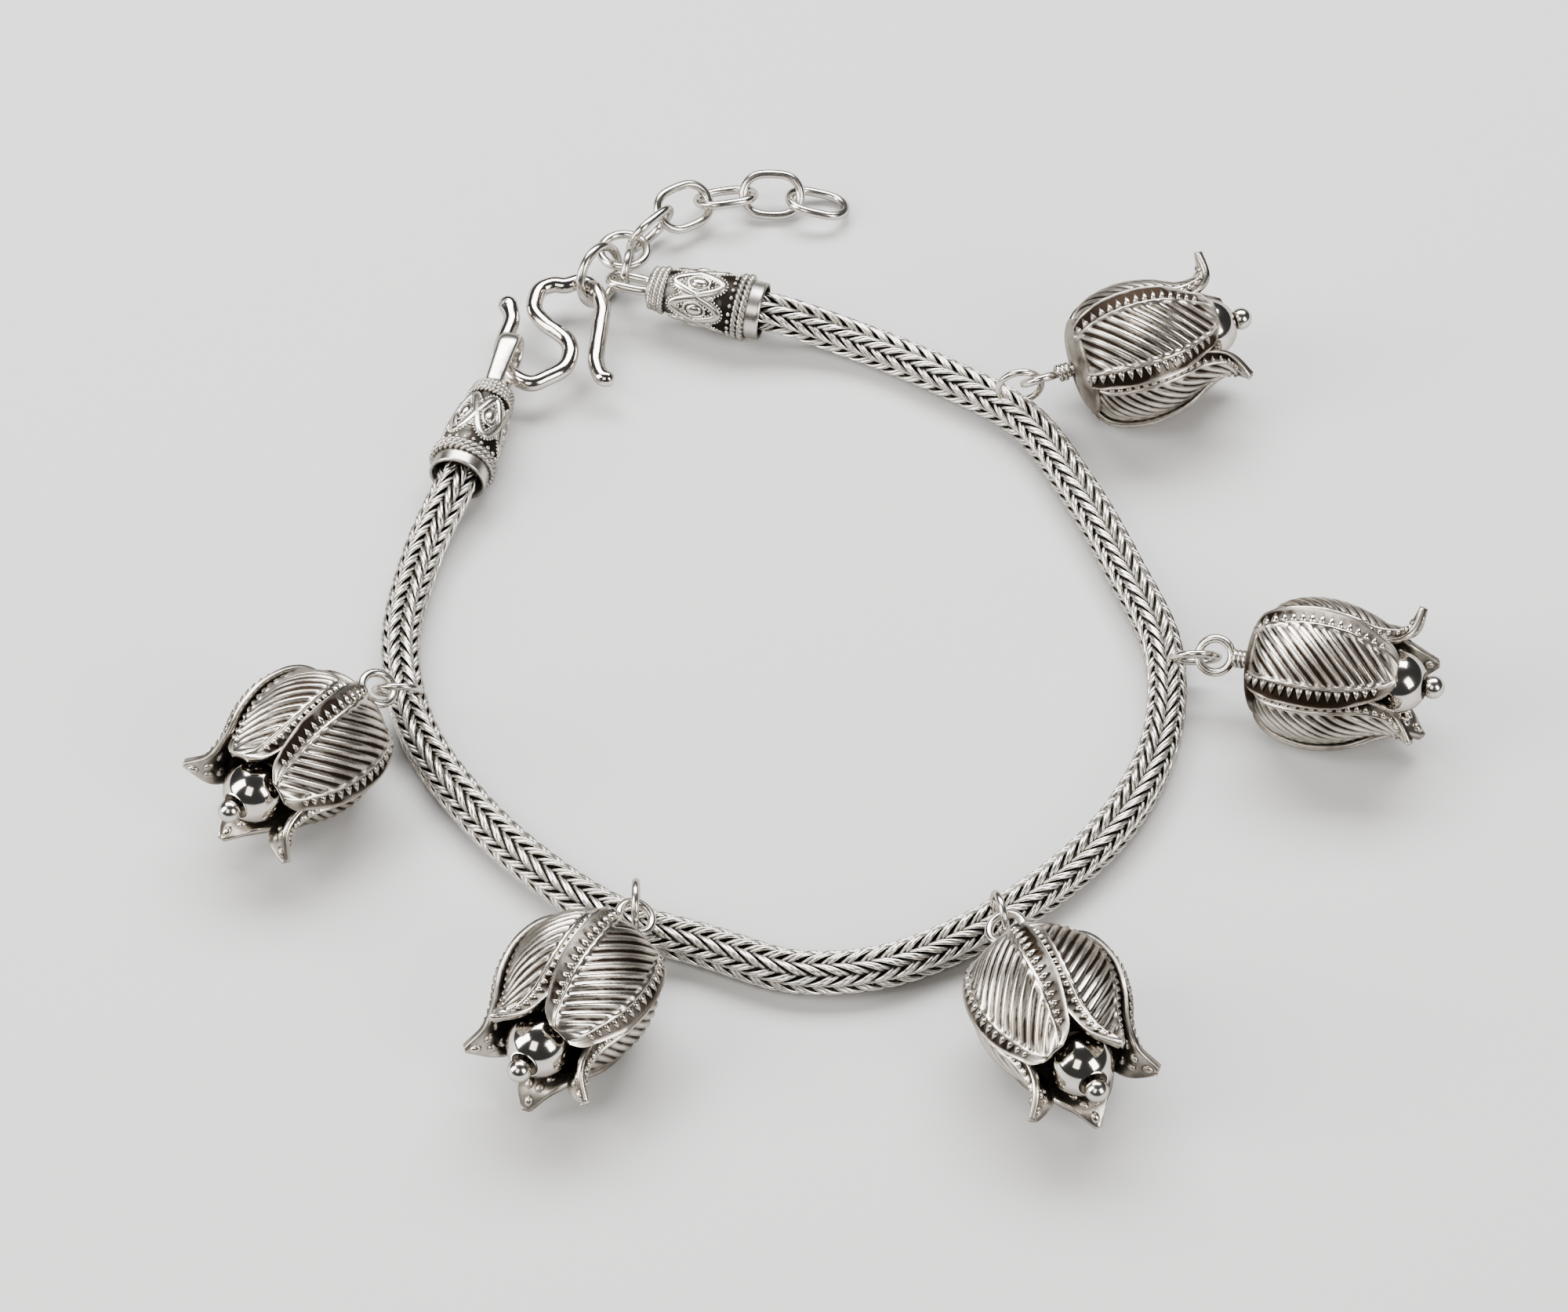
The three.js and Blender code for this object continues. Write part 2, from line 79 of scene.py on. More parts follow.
def smoothLine(points, each=40):
    # centripetal Catmull-Rom: between two points a cubic whose end slopes come from the points on either
    # side, each interval as long as the square root of its chord
    p = np.asarray(points, float)
    p = np.vstack([2 * p[0] - p[1], p, 2 * p[-1] - p[-2]])
    p0, p1, p2, p3 = p[:-3], p[1:-2], p[2:-1], p[3:]
    d0, d1, d2 = (np.sqrt(np.linalg.norm(b - a, axis=1))[:, None] for a, b in ((p0, p1), (p1, p2), (p2, p3)))
    m1 = ((p1 - p0) / d0 - (p2 - p0) / (d0 + d1) + (p2 - p1) / d1) * d1
    m2 = ((p2 - p1) / d1 - (p3 - p1) / (d1 + d2) + (p3 - p2) / d2) * d1
    t = np.linspace(0, 1, each, endpoint=False)[None, :, None]
    a, b, m, n = (x[:, None] for x in (p1, p2, m1, m2))
    line = (2 * t**3 - 3 * t**2 + 1) * a + (t**3 - 2 * t**2 + t) * m
    line = line + (3 * t**2 - 2 * t**3) * b + (t**3 - t**2) * n
    return np.vstack([line.reshape(-1, p.shape[1]), p[-2]])


def lengthAlong(line):
    # the running sum of the chords' lengths, from zero
    steps = np.linalg.norm(np.diff(line, axis=0), axis=1)
    return np.concatenate([[0], np.cumsum(steps)])


def sampleLine(line, places):
    # the line's coordinates at given lengths along it
    along = lengthAlong(line)
    return np.stack([np.interp(places, along, line[:, k]) for k in range(line.shape[1])], -1)


def rings(points, recess=0.0, closedAlong=False):
    # a part of a mesh from rings of points, (wires, rows, points round a row, xyz): rows are joined to the
    # next by faces, and each open end is closed by a fan about its middle
    points = np.asarray(points, float)
    wires, rows, around = points.shape[:3]
    depth = np.broadcast_to(recess, (wires, rows, around))
    index = np.arange(wires * rows * around).reshape(wires, rows, around)
    below = index if closedAlong else index[:, :-1]
    above = np.roll(index, -1, 1) if closedAlong else index[:, 1:]
    faces = [np.stack([below, np.roll(below, -1, 2), np.roll(above, -1, 2), above], -1).reshape(-1, 4)]
    vertices, depths = [points.reshape(-1, 3)], [depth.reshape(-1)]
    if not closedAlong:
        for end in (0, -1):
            ring = index[:, end]
            middle = sum(len(v) for v in vertices) + np.arange(wires)[:, None]
            fan = [np.broadcast_to(middle, ring.shape), ring, np.roll(ring, -1, 1)]
            if end:
                fan = [fan[0], fan[2], fan[1]]
            faces.append(np.stack([f.reshape(-1) for f in fan], -1)[:, ::-1])
            vertices.append(points[:, end].mean(1))
            depths.append(depth[:, end].mean(1))
    return {"vertices": np.vstack(vertices), "faces": faces, "recess": np.concatenate(depths)}


def wires(paths, radius, sides, reference, recess=0.0, closedAlong=False, flat=1.0):
    # round wires along lines (wires, points, xyz): each ring is a circle square to the line, its upright
    # taken from the reference direction, and flat squeezes it that way
    paths = np.asarray(paths, float)
    if closedAlong:
        tangent = unit(np.roll(paths, -1, 1) - np.roll(paths, 1, 1))
    else:
        tangent = unit(np.gradient(paths, axis=1))
    side = unit(np.cross(tangent, np.broadcast_to(reference, paths.shape)))
    lift = np.cross(side, tangent)
    turn = 2 * np.pi * np.arange(sides) / sides
    radius = np.broadcast_to(radius, paths.shape[:2])[..., None, None]
    across = np.cos(turn)[:, None] * side[:, :, None] + flat * np.sin(turn)[:, None] * lift[:, :, None]
    deep = np.broadcast_to(recess, paths.shape[:2])[..., None]
    return rings(paths[:, :, None] + radius * across, deep, closedAlong)


def lathe(profile, segments, recess=0.0, closedAlong=False):
    # a profile of radius and height turned about the z axis
    profile = np.asarray(profile, float)
    turn = 2 * np.pi * np.arange(segments) / segments
    points = np.stack([profile[:, :1] * np.cos(turn), profile[:, :1] * np.sin(turn),
                       np.repeat(profile[:, 1:], segments, 1)], -1)
    deep = np.broadcast_to(recess, len(profile))[None, :, None]
    return rings(points[None], deep, closedAlong)


def domes(centres, along, outward, sizes, recess=0.0):
    # small ellipsoids: centre, two directions in the surface, and the half sizes along, across and outward
    centres, along, outward = np.asarray(centres, float), unit(along), unit(outward)
    across = unit(np.cross(outward, along))
    rise = np.linspace(-1, 1, 6)[1:-1] * np.pi / 2
    turn = 2 * np.pi * np.arange(8) / 8
    sizes = np.broadcast_to(sizes, (len(centres), 3))
    a = sizes[:, 0, None, None, None] * (np.cos(rise)[:, None] * np.cos(turn))[None, ..., None]
    b = sizes[:, 1, None, None, None] * (np.cos(rise)[:, None] * np.sin(turn))[None, ..., None]
    c = sizes[:, 2, None, None, None] * np.sin(rise)[None, :, None, None]
    points = a * along[:, None, None] + b * across[:, None, None] + c * outward[:, None, None]
    made = rings(centres[:, None, None] + points, recess)
    poles = np.concatenate([centres - outward * sizes[:, 2:], centres + outward * sizes[:, 2:]])
    made["vertices"][-len(poles):] = poles
    return made


def teeth(feet, tips, outward, rise, recess):
    # triangular studs: two feet (n, 2, xyz) and a tip (n, xyz), the same triangle smaller and raised on top
    low = np.concatenate([feet, tips[:, None]], 1)
    middle = low.mean(1, keepdims=True)
    out = outward[:, None]
    levels = [low - 0.1 * out, middle + 0.9 * (low - middle) + 0.4 * rise * out,
              middle + 0.45 * (low - middle) + rise * out]
    return rings(np.stack(levels, 1), np.array(recess)[None, :, None])


def placed(part, origin, axes):
    # a part's own x, y and z times three directions, given as rows, plus the origin
    return {**part, "vertices": part["vertices"] @ np.asarray(axes) + np.asarray(origin)}


def makePiece(name, parts, material, replaced=()):
    # one mesh from several parts, in metres, with each point's recess kept as an attribute
    offset, faces = 0, []
    for part in parts:
        for block in part["faces"]:
            faces += (block + offset).tolist()
        offset += len(part["vertices"])
    mesh = bpy.data.meshes.new(name)
    vertices = np.vstack([part["vertices"] for part in parts]) * millimetre
    vertices[:, 2] = np.maximum(vertices[:, 2], 0)  # what bulges below the surface is pressed flat on it
    mesh.from_pydata(vertices.tolist(), [], faces)
    recess = mesh.attributes.new("recess", "FLOAT", "POINT")
    recess.data.foreach_set("value", np.concatenate([p["recess"] for p in parts]).astype(np.float32))
    piece = bpy.data.objects.new(name, mesh)
    bpy.context.scene.collection.objects.link(piece)
    bpy.context.view_layer.objects.active = piece
    piece.select_set(True)
    bpy.ops.object.mode_set(mode="EDIT")
    bpy.ops.mesh.select_all(action="SELECT")
    bpy.ops.mesh.normals_make_consistent(inside=False)
    bpy.ops.object.mode_set(mode="OBJECT")
    piece.select_set(False)
    mesh.polygons.foreach_set("use_smooth", np.ones(len(mesh.polygons), bool))
    mesh.materials.append(material)
    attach(piece, "root")
    if replaced:
        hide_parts(*replaced)
    print("made", name, len(mesh.polygons), "faces")
    return piece


def setInputs(node, values):
    for name, value in values.items():
        node.inputs[name].default_value = value


# Silver darkened by how deep a point lies, with a colour and a roughness from it: oxide in the hollows, and
# painted shade where the depth stands for shade, on the petals' insides and the chain's core
def oxideAndShadeSilverGroup():
    group = bpy.data.node_groups.new("oxideAndShadeSilver", "ShaderNodeTree")
    for side, kind, names in (
        ("INPUT", "NodeSocketColor", ("Bright", "Dark")),
        ("INPUT", "NodeSocketFloat", ("Patches", "Polish", "Grain")),
        ("OUTPUT", "NodeSocketColor", ("Color",)),
        ("OUTPUT", "NodeSocketFloat", ("Roughness", "Height")),
    ):
        for name in names:
            group.interface.new_socket(name, in_out=side, socket_type=kind)
    tree, link = group.nodes, group.links.new
    given, out = tree.new("NodeGroupInput"), tree.new("NodeGroupOutput")
    recess, place = tree.new("ShaderNodeAttribute"), tree.new("ShaderNodeTexCoord")
    recess.attribute_name = "recess"
    noise = tree.new("ShaderNodeTexNoise")
    setInputs(noise, {"Detail": 3.0})
    link(place.outputs["Object"], noise.inputs["Vector"])
    link(given.outputs["Grain"], noise.inputs["Scale"])
    spread = tree.new("ShaderNodeMapRange")  # the noise as a small push on the depth
    setInputs(spread, {"From Min": 0.3, "From Max": 0.7, "To Min": -0.12, "To Max": 0.12})
    link(noise.outputs["Fac"], spread.inputs["Value"])
    total = tree.new("ShaderNodeMath")
    total.operation = "ADD"
    link(recess.outputs["Fac"], total.inputs[0])
    link(spread.outputs["Result"], total.inputs[1])
    tarnish = tree.new("ShaderNodeTexNoise")  # patches a few millimetres across
    setInputs(tarnish, {"Scale": 230.0, "Detail": 2.0})
    link(place.outputs["Object"], tarnish.inputs["Vector"])
    patch = tree.new("ShaderNodeMapRange")
    setInputs(patch, {"From Min": 0.46, "From Max": 0.72})
    link(tarnish.outputs["Fac"], patch.inputs["Value"])
    amount = tree.new("ShaderNodeMath")  # depth and grain, plus the patches as strong as asked
    amount.operation, amount.use_clamp = "MULTIPLY_ADD", True
    link(patch.outputs["Result"], amount.inputs[0])
    link(given.outputs["Patches"], amount.inputs[1])
    link(total.outputs[0], amount.inputs[2])
    mix = tree.new("ShaderNodeMix")
    mix.data_type = "RGBA"
    link(amount.outputs[0], mix.inputs["Factor"])
    link(given.outputs["Bright"], mix.inputs[6])  # 6 and 7 are the two colours, 2 is the colour put out
    link(given.outputs["Dark"], mix.inputs[7])
    rough = tree.new("ShaderNodeMath")  # darker is rougher
    rough.operation = "MULTIPLY_ADD"
    rough.inputs[1].default_value = 0.3
    link(amount.outputs[0], rough.inputs[0])
    link(given.outputs["Polish"], rough.inputs[2])
    link(mix.outputs[2], out.inputs["Color"])
    link(rough.outputs[0], out.inputs["Roughness"])
    link(noise.outputs["Fac"], out.inputs["Height"])
    return group


oxideAndShadeSilver = oxideAndShadeSilverGroup()


def silver(name, bright, dark, patches, polish, grain, bump):
    # a polished metal with the group's colour and roughness, and its grain as a fine bump
    material = bpy.data.materials.new(name)
    material.use_nodes = True
    tree, link = material.node_tree.nodes, material.node_tree.links.new
    shader = tree["Principled BSDF"]
    setInputs(shader, {"Metallic": 1.0, "Specular Tint": (0.58, 0.55, 0.52, 1)})  # darker where seen edge-on
    effect = tree.new("ShaderNodeGroup")
    effect.node_tree = oxideAndShadeSilver
    setInputs(effect, {"Bright": (*bright, 1), "Dark": (*dark, 1), "Patches": patches, "Polish": polish,
                       "Grain": grain})
    link(effect.outputs["Color"], shader.inputs["Base Color"])
    link(effect.outputs["Roughness"], shader.inputs["Roughness"])
    if bump:
        relief = tree.new("ShaderNodeBump")
        setInputs(relief, {"Strength": bump, "Distance": 0.00006})
        link(effect.outputs["Height"], relief.inputs["Height"])
        link(relief.outputs["Normal"], shader.inputs["Normal"])
    return material


wovenSilver = silver("wovenSilver", (0.72, 0.69, 0.64), (0.012, 0.010, 0.008), 0.15, 0.22, 900, 0.1)
castSilver = silver("castSilver", (0.64, 0.61, 0.56), (0.015, 0.012, 0.010), 0.3, 0.2, 1100, 0.3)
petalSilver = silver("petalSilver", (0.60, 0.555, 0.49), (0.016, 0.011, 0.008), 0.7, 0.19, 1200, 0.35)
polishedSilver = silver("polishedSilver", (0.66, 0.62, 0.575), (0.1, 0.08, 0.06), 0.12, 0.1, 700, 0.0)
ringSilver = silver("ringSilver", (0.64, 0.61, 0.565), (0.04, 0.032, 0.025), 0.15, 0.17, 800, 0.1)

# How far the part's frame lies from the laid one: the hook's box against its own line
hookCurve = smoothLine([(x, y, hook["height"]) for x, y in hookLine])
hookLow, hookHigh = (np.array(corner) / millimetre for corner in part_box("s_hook"))
laidShift = (hookLow + hookHigh - hookCurve.min(0) - hookCurve.max(0)) / 2
laidShift[2] = 0
print("laid frame moved by", laidShift.round(3))

# Woven chain: slanting pairs of wires in eight strips, leaning the other way in each next strip, so that
# they meet in rows of V shapes at the corners
weave = {
    "thick": 2.7, "squareness": 3.2, "strips": 8, "pitch": 1.3, "advance": 2.1, "wire": 0.27, "pair": 0.2,
    "dip": 0.5, "flat": 1.15, "bare": 0.1, "steps": 8, "sides": 6, "core": 0.5, "coreRows": 240,
    "coreSides": 24,
}


def capAxes(cap):
    # z along the cap, x the upright square to it, turned about z by the tilt, and y square to both
    z = unit(cap["points"])
    across = unit(np.cross(z, (0, 0, 1)))
    raised = unit(np.cross(across, z))
    a = math.radians(cap["tilt"])
    x = raised * math.cos(a) + np.cross(z, raised) * math.sin(a)
    return np.array([x, np.cross(z, x), z])


def onAxis(cap, along):
    # the lip's middle plus a length along the cap's axis
    return np.array(cap["lip"]) + unit(cap["points"]) * along


def chainLine():
    # the line through both caps' guide points and the route, at half the chain's height
    hookSide, ringSide = caps["end_cap_hook_side"], caps["end_cap_ring_side"]
    height = weave["thick"] / 2
    return smoothLine([
        *[onAxis(hookSide, along) for along in hookSide["guides"]],
        *[(x, y, height) for x, y in route],
        *[onAxis(ringSide, along) for along in ringSide["guides"]],
    ]) + laidShift


def sectionReach(turn):
    # superellipse: the radius at an angle is one over the root of the sum of powers of cosine and sine
    n = weave["squareness"]
    return weave["thick"] / 2 * (np.abs(np.cos(turn)) ** n + np.abs(np.sin(turn)) ** n) ** (-1 / n)


def onChain(line, along, turn, sunk):
    # a point of the chain from its length along the line, its angle round the section and its depth
    centre = sampleLine(line, along)
    step = 0.05
    tangent = unit(sampleLine(line, along + step) - sampleLine(line, along - step))
    side = unit(np.cross(tangent, (0, 0, 1)))
    lift = np.cross(side, tangent)
    outward = np.cos(turn)[..., None] * side + np.sin(turn)[..., None] * lift
    return centre + (sectionReach(turn) - sunk)[..., None] * outward, outward


def makeChain():
    # each wire runs forward along the chain while it crosses one strip, an eighth of the way round
    line = chainLine()
    length = lengthAlong(line)[-1]
    strips, steps, bare = weave["strips"], weave["steps"], weave["bare"]
    rows = np.arange(bare, length - weave["advance"] - bare, weave["pitch"])
    strip = np.arange(strips)[None, :, None, None]
    pair = np.array([-1, 1]) * weave["pair"]
    t = np.linspace(-0.04, 1.04, steps)  # a wire starts and ends just inside the neighbouring strips
    shape = (len(rows), strips, 2, steps)
    odd = strip % 2
    start = rows[:, None, None, None] + odd * weave["pitch"] / 2 + pair[None, None, :, None]
    along = np.broadcast_to(start + weave["advance"] * t, shape)
    turn = np.broadcast_to((strip + np.where(odd == 1, 1 - t, t)) * 2 * np.pi / strips, shape)
    # a wire is at the surface in the middle of its strip and dips under the next one at its ends
    hump = np.clip(np.sin(np.pi * np.clip(t, 0, 1)), 0, 1) ** 0.55
    sunk = np.broadcast_to(weave["wire"] / 2 + weave["dip"] * (1 - hump), shape)
    points, outward = onChain(line, along.reshape(-1), turn.reshape(-1), sunk.reshape(-1))
    paths, upright = points.reshape(-1, steps, 3), outward.reshape(-1, steps, 3)
    deep = np.broadcast_to(np.clip(1.3 * (1 - hump) - 0.1, 0, 1), (len(paths), steps))
    wirePart = wires(paths, weave["wire"] / 2, weave["sides"], upright, deep, flat=weave["flat"])
    # a core painted black closes the gaps between the wires, as painted shade for the chain's hollow inside
    coreAlong = np.linspace(0, length, weave["coreRows"])
    coreTurn = 2 * np.pi * np.arange(weave["coreSides"]) / weave["coreSides"]
    grid = np.meshgrid(coreAlong, coreTurn, indexing="ij")
    core, _ = onChain(line, grid[0].reshape(-1), grid[1].reshape(-1), np.full(grid[0].size, weave["core"]))
    corePart = rings(core.reshape(1, len(coreAlong), len(coreTurn), 3), 1.0)
    makePiece("chain_weave", [wirePart, corePart], wovenSilver, ["chain"])


makeChain()

# End caps: a turned body with rope bands at the collar and at the narrow end, two broad waved bands edged
# with granules that cross round the body, an oval in each lozenge between them, and a strap or a wire loop
capParts = {
    "length": 8.6, "lip": 2.06, "end": 1.28, "wall": 0.3, "hole": 0.4, "socket": 3.0, "brightBelow": 1.0,
    "brightAbove": 8.3, "rope": 0.15, "ropeTurns": 15, "rowAt": 2.2, "rowCount": 22, "rowGrain": 0.17,
    "waves": 3, "waveMiddle": 4.75, "waveReach": 1.75, "bandWide": 0.3, "granule": 0.1,
    "granuleApart": 0.24, "ovalLong": 0.8, "ovalWide": 0.55, "ovalWire": 0.11, "dome": (0.66, 0.43, 0.22),
    "corner": (0.26, 0.2, 0.2), "cornerAt": 1.15,
}
strap = {"wide": 1.5, "thick": 0.6, "opening": 1.9, "lean": 9, "foot": 0.5, "bend": 3.15, "rounding": 0.85}
bail = {"wire": 0.7, "opening": 1.05, "straight": 1.5, "out": 0.35}
# height, how far the radius has gone from the lip's to the narrow end's, and a bulge on top of that
capProfile = [
    (0.0, 0.0, 0.0), (1.0, 0.0, 0.02), (2.2, 0.0, 0.0), (3.0, 0.0, -0.01), (4.6, 0.0, -0.1), (6.2, 0.5, 0.08),
    (7.85, 1.0, 0.02), (8.6, 1.0, -0.1),
]
# each rope band's height, and how far it stands out
capRopes = [(1.25, 0.14), (1.72, 0.1), (7.35, 0.08), (7.75, 0.08), (8.15, 0.1)]


def capRadius(z):
    # straight lines between the profile's heights, from the lip's and the narrow end's radius
    heights, shares, bulges = np.array(capProfile).T
    return np.interp(z, heights, capParts["lip"] + (capParts["end"] - capParts["lip"]) * shares + bulges)


def roundAxis(turn, radius, z):
    # a point from its angle, its radius and its height
    return np.stack([radius * np.cos(turn), radius * np.sin(turn), z], -1)


def ropeBand(z, radius, strands=2):
    # strands that wind about a circle: each point is the circle's plus a small circle turned many times
    turn = np.linspace(0, 2 * np.pi, capParts["ropeTurns"] * 8, endpoint=False)
    parts = []
    for strand in range(strands):
        wind = capParts["ropeTurns"] * turn + 2 * np.pi * strand / strands
        small = capParts["rope"] * 0.8
        path = roundAxis(turn, radius + small * np.cos(wind), z + small * np.sin(wind))
        outward = roundAxis(turn, np.ones_like(turn), 0 * turn)
        parts.append(wires(path[None], capParts["rope"], 6, outward[None], 0.25, closedAlong=True))
    return parts


def onCap(turn, z, lift):
    # a point of the cap's surface from its angle and height, raised by lift, and the way out there
    return roundAxis(turn, capRadius(z) + lift, z), roundAxis(turn, np.ones_like(turn), 0 * turn)


def granuleRow(z, count, size):
    # equal balls at equal angles round the cap, a little out of its surface
    turn = 2 * np.pi * np.arange(count) / count
    centres, outward = onCap(turn, np.full(count, z), size * 0.3)
    return domes(centres, np.broadcast_to((0, 0, 1), outward.shape), outward, (size, size, size))


def wavedBand(phase):
    # height: the middle plus a sine with a few waves to the round; granules follow both edges of the band
    turn = np.linspace(0, 2 * np.pi, 120, endpoint=False)
    height = capParts["waveMiddle"] + capParts["waveReach"] * np.sin(capParts["waves"] * turn + phase)
    path, outward = onCap(turn, height, 0.03)
    parts = [wires(path[None], capParts["bandWide"], 8, outward[None], 0.05, closedAlong=True, flat=0.5)]
    forward = unit(np.roll(path, -1, 0) - np.roll(path, 1, 0))
    sideways = np.cross(forward, outward)
    count = int(lengthAlong(np.vstack([path, path[:1]]))[-1] / capParts["granuleApart"])
    for sign in (-1, 1):
        edge = path + sign * (capParts["bandWide"] + capParts["granule"] * 0.7) * sideways
        edgeLine = np.vstack([edge, edge[:1]])
        spots = sampleLine(edgeLine, np.arange(count) * lengthAlong(edgeLine)[-1] / count)
        spots, out = onCap(np.arctan2(spots[:, 1], spots[:, 0]), spots[:, 2], 0.02)
        size = capParts["granule"] * np.array([1, 1, 1.1])
        parts.append(domes(spots, np.broadcast_to((0, 0, 1), out.shape), out, size))
    return parts


def capOvals():
    # a wire ellipse with a low dome inside it, in each lozenge between the waved bands
    parts = []
    s = np.linspace(0, 2 * np.pi, 32, endpoint=False)
    for k in range(2 * capParts["waves"]):
        middle = (k + 0.5) * np.pi / capParts["waves"]
        height = capParts["waveMiddle"] + capParts["ovalLong"] * np.cos(s)
        turn = middle + capParts["ovalWide"] * np.sin(s) / capRadius(height)
        path, outward = onCap(turn, height, 0.04)
        parts.append(wires(path[None], capParts["ovalWire"], 8, outward[None], 0.0, closedAlong=True))
        spot, out = onCap(np.array([middle]), np.array([capParts["waveMiddle"]]), 0.0)
        parts.append(domes(spot, [(0, 0, 1)], out, capParts["dome"]))
        for corner in (-capParts["cornerAt"], capParts["cornerAt"]):
            # a grain in the corners above and below, where the bands cross
            spot, out = onCap(np.array([k * np.pi / capParts["waves"]]),
                              np.array([capParts["waveMiddle"] + corner]), 0.0)
            parts.append(domes(spot, [(0, 0, 1)], out, capParts["corner"]))
    return parts


def capBody():
    # a closed profile turned about z: the socket for the chain, the lip, the outside and the narrow end
    lip, end, wall = capParts["lip"], capParts["end"], capParts["wall"]
    hole, socket, length = capParts["hole"], capParts["socket"], capParts["length"]
    z = np.linspace(0, length - 0.1, 40)
    profile = np.vstack([
        [(hole, socket), (lip - wall, socket), (lip - wall, 0.05), (lip - wall + 0.05, 0.0)],
        np.stack([capRadius(z), z], -1), [(end - wall, length), (hole, length)],
    ])
    # the plain lip and the narrow end are bright, the ground between the ornaments is dark
    ground = np.where((z < capParts["brightBelow"]) | (z > capParts["brightAbove"]), 0.15, 0.9)
    deep = np.concatenate([np.full(4, 0.9), ground, np.full(2, 0.3)])
    parts = [lathe(profile, 48, deep, closedAlong=True)]
    for height, outBy in capRopes:
        parts += ropeBand(height, float(capRadius(height)) + outBy)
    parts.append(granuleRow(capParts["rowAt"], capParts["rowCount"], capParts["rowGrain"]))
    for phase in (0, np.pi):
        parts += wavedBand(phase)
    return parts + capOvals()


def strapPart():
    # a flat band with rounded edges bent to a U in the plane of the cap's x and z, then leant over
    inner, thick, length = strap["opening"] / 2, strap["thick"], capParts["length"]
    middle, foot, bend = inner + thick / 2, length - strap["foot"], length + strap["bend"]
    arc = np.linspace(-np.pi / 2, np.pi / 2, 24)
    rise = np.linspace(foot, bend, 6, endpoint=False)
    path = np.vstack([
        np.stack([np.full(6, -middle), np.zeros(6), rise], -1),
        np.stack([middle * np.sin(arc), 0 * arc, bend + middle * np.cos(arc)], -1),
        np.stack([np.full(6, middle), np.zeros(6), rise[::-1]], -1),
    ])
    outward = np.cross((0, 1, 0), unit(np.gradient(path, axis=0)))
    # section: a superellipse, between a rounded rectangle and an ellipse; narrower at the feet
    turn = 2 * np.pi * np.arange(24) / 24
    wide, deep = (
        half * np.sign(reach) * np.abs(reach) ** strap["rounding"]
        for half, reach in ((strap["wide"] / 2, np.cos(turn)), (thick / 2, np.sin(turn)))
    )
    broad = np.interp(path[:, 2], [foot, bend], [0.8, 1.0])[:, None, None]
    points = path[:, None] + broad * wide[:, None] * np.array([0, 1, 0]) + deep[:, None] * outward[:, None]
    lean = math.radians(-strap["lean"])
    x, z = points[..., 0].copy(), points[..., 2] - length
    points[..., 0] = x * math.cos(lean) - z * math.sin(lean)
    points[..., 2] = length + x * math.sin(lean) + z * math.cos(lean)
    return rings(points[None], 0.05)


def ovalWire(radius, straight, wire, recess=0.0):
    # a circle whose x is moved by half the straight part times a smoothed sign of the cosine
    turn = np.linspace(0, 2 * np.pi, 64, endpoint=False)
    x = radius * np.cos(turn) + straight / 2 * np.tanh(4 * np.cos(turn))
    path = np.stack([x, radius * np.sin(turn), 0 * turn], -1)
    return wires(path[None], wire / 2, 14, (0, 0, 1), recess, closedAlong=True)


def bailPart():
    # an oval wire ring that stands on the narrow end with its long way along the cap
    radius = (bail["opening"] + bail["wire"]) / 2
    part = ovalWire(radius, bail["straight"], bail["wire"], 0.05)
    axes = np.array([(0, 0, 1), (0, 1, 0), (-1, 0, 0)])
    return placed(part, (0, 0, capParts["length"] + radius + bail["out"]), axes)


def makeCaps():
    body = capBody()
    for name, cap in caps.items():
        end = strapPart() if name == "end_cap_hook_side" else bailPart()
        origin = np.array(cap["lip"]) + laidShift
        parts = [placed(part, origin, capAxes(cap)) for part in [*body, end]]
        makePiece(name + "_silver", parts, castSilver, [name])


makeCaps()


def makeHook():
    # a round wire whose first end swells to a knob: near each end the radius follows a circle to nothing
    whole, knob, foot = lengthAlong(hookCurve)[-1], hook["knob"], hook["wire"] / 2
    ease = 1 - np.cos(np.linspace(0, np.pi / 2, 12))
    middle = np.linspace(knob, whole - foot, 220)
    places = np.unique(np.concatenate([knob * ease, middle, whole - foot * ease]))
    radius = foot + (knob - foot) * np.exp(-(((places - knob) / hook["swell"]) ** 2))
    for fromEnd, ball in ((places, knob), (whole - places, foot)):
        cap = np.sqrt(np.maximum(ball**2 - (ball - fromEnd) ** 2, 0.02**2))
        radius = np.where(fromEnd < ball, cap, radius)
    path = sampleLine(hookCurve, places) + laidShift
    hookWire = wires(path[None], radius[None], hook["sides"], (0, 0, 1), 0.03)
    makePiece("s_hook_wire", [hookWire], polishedSilver, ["s_hook"])


makeHook()


def nodePoints(name):
    # the points of a CAD node's mesh in millimetres
    points = np.zeros(len(nodes[name].data.vertices) * 3)
    nodes[name].data.vertices.foreach_get("co", points)
    return points.reshape(-1, 3) / millimetre


def ownAxes(points):
    # middle and principal directions of a cloud of points, the longest first
    corners = np.unique(points.round(4), axis=0)
    middle = corners.mean(0)
    spread = corners - middle
    _, directions = np.linalg.eigh(spread.T @ spread)
    axes = directions.T[::-1]
    axes[2] = np.cross(axes[0], axes[1])
    return middle, axes


def makeRing(name):
    # a smooth ring in place of the polygon, measured along the node's own axes: the solid's ring has 16
    # sides and its wire 6, so the round ones are a little larger than their boxes say
    middle, axes = ownAxes(nodePoints(name))
    reach = np.ptp((nodePoints(name) - middle) @ axes.T, axis=0)
    wire = reach[2] / math.sin(math.pi / 3)
    outer = reach[1] / 2 / math.cos(math.pi / 16)
    part = ovalWire(outer - wire / 2, max(reach[0] - reach[1], 0), wire, 0.04)
    makePiece(name + "_wire", [placed(part, middle, axes)], ringSilver, [name])


for name in sorted(nodes):
    if name.startswith(("ring_", "link_", "jump_ring_")):
        makeRing(name)

